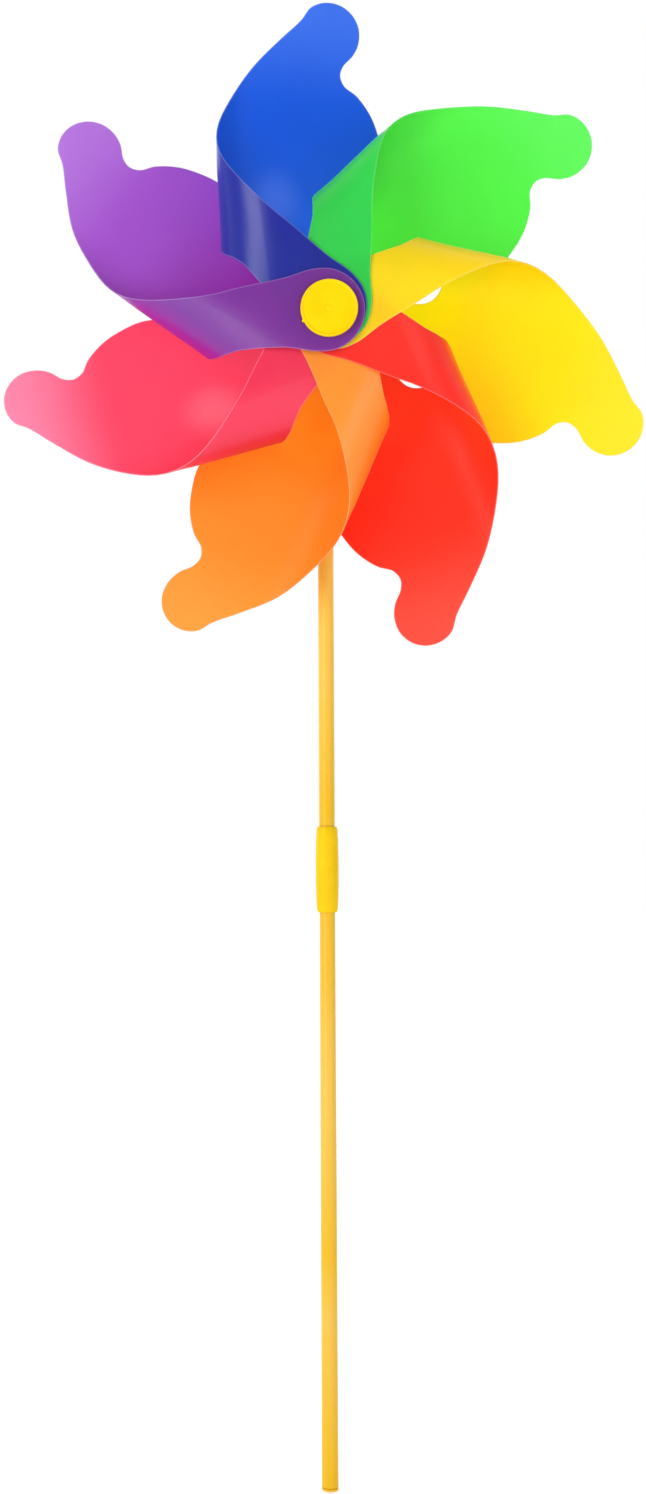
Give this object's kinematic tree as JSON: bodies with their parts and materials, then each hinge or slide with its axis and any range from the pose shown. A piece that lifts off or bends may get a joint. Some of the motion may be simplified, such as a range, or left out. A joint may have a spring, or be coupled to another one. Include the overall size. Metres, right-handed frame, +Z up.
{
  "type": "wind spinner",
  "caption": "Garden pinwheel: rolled coloured plastic blades on a free-spinning hub, on a slim yellow pole that joins in the middle.",
  "frame": {"origin": "on the pole's axis at the flat face of its foot", "axes": "+Z up along the pole, the wheel faces -Y and its axle runs along Y, +X to the right when the wheel is seen from the front"},
  "size_m": [0.3652, 0.0893, 0.8539],
  "materials": {
    "blade_violet_sheet": "translucent coloured polypropylene sheet, satin gloss",
    "blade_blue_sheet": "translucent coloured polypropylene sheet, satin gloss",
    "blade_green_sheet": "translucent coloured polypropylene sheet, satin gloss",
    "blade_yellow_sheet": "translucent coloured polypropylene sheet, satin gloss",
    "blade_red_sheet": "translucent coloured polypropylene sheet, satin gloss",
    "blade_orange_sheet": "translucent coloured polypropylene sheet, satin gloss",
    "blade_pink_sheet": "translucent coloured polypropylene sheet, satin gloss",
    "cap_plastic": "moulded lemon-yellow plastic, satin gloss",
    "hub_plastic": "moulded yellow plastic",
    "pole_plastic": "extruded warm-yellow plastic tube, glossy",
    "sleeve_plastic": "moulded yellow plastic, satin",
    "axle_steel": "bright zinc-plated steel",
    "washer_nylon": "natural white nylon"
  },
  "bodies": {
    "lower_pole": {"lower_pole": "pole_plastic", "foot_plug": "pole_plastic"},
    "joint_sleeve": {"joint_sleeve": "sleeve_plastic"},
    "upper_pole": {"upper_pole": "pole_plastic", "pole_head": "pole_plastic", "axle_pin": "axle_steel", "thrust_washer": "washer_nylon", "retaining_clip": "axle_steel", "rear_washer": "washer_nylon", "spacer_bead": "hub_plastic"},
    "wheel": {"blade_violet": "blade_violet_sheet", "blade_blue": "blade_blue_sheet", "blade_green": "blade_green_sheet", "blade_yellow": "blade_yellow_sheet", "blade_red": "blade_red_sheet", "blade_orange": "blade_orange_sheet", "blade_pink": "blade_pink_sheet", "front_cap": "cap_plastic", "hub_spacer": "hub_plastic", "rear_collar": "hub_plastic"}
  },
  "joints": [
    {"name": "pole_pull", "type": "slide", "parent": "lower_pole", "child": "joint_sleeve", "axis": [0, 0, 1], "range_m": [0, 0.024]},
    {"name": "pole_turn", "type": "hinge", "parent": "joint_sleeve", "child": "upper_pole", "pos_m": [0, 0, 0.3574], "axis": [0, 0, 1], "continuous": true},
    {"name": "wheel_spin", "type": "hinge", "parent": "upper_pole", "child": "wheel", "pos_m": [0, -0.0767, 0.665], "axis": [0, 1, 0], "continuous": true}
  ]
}
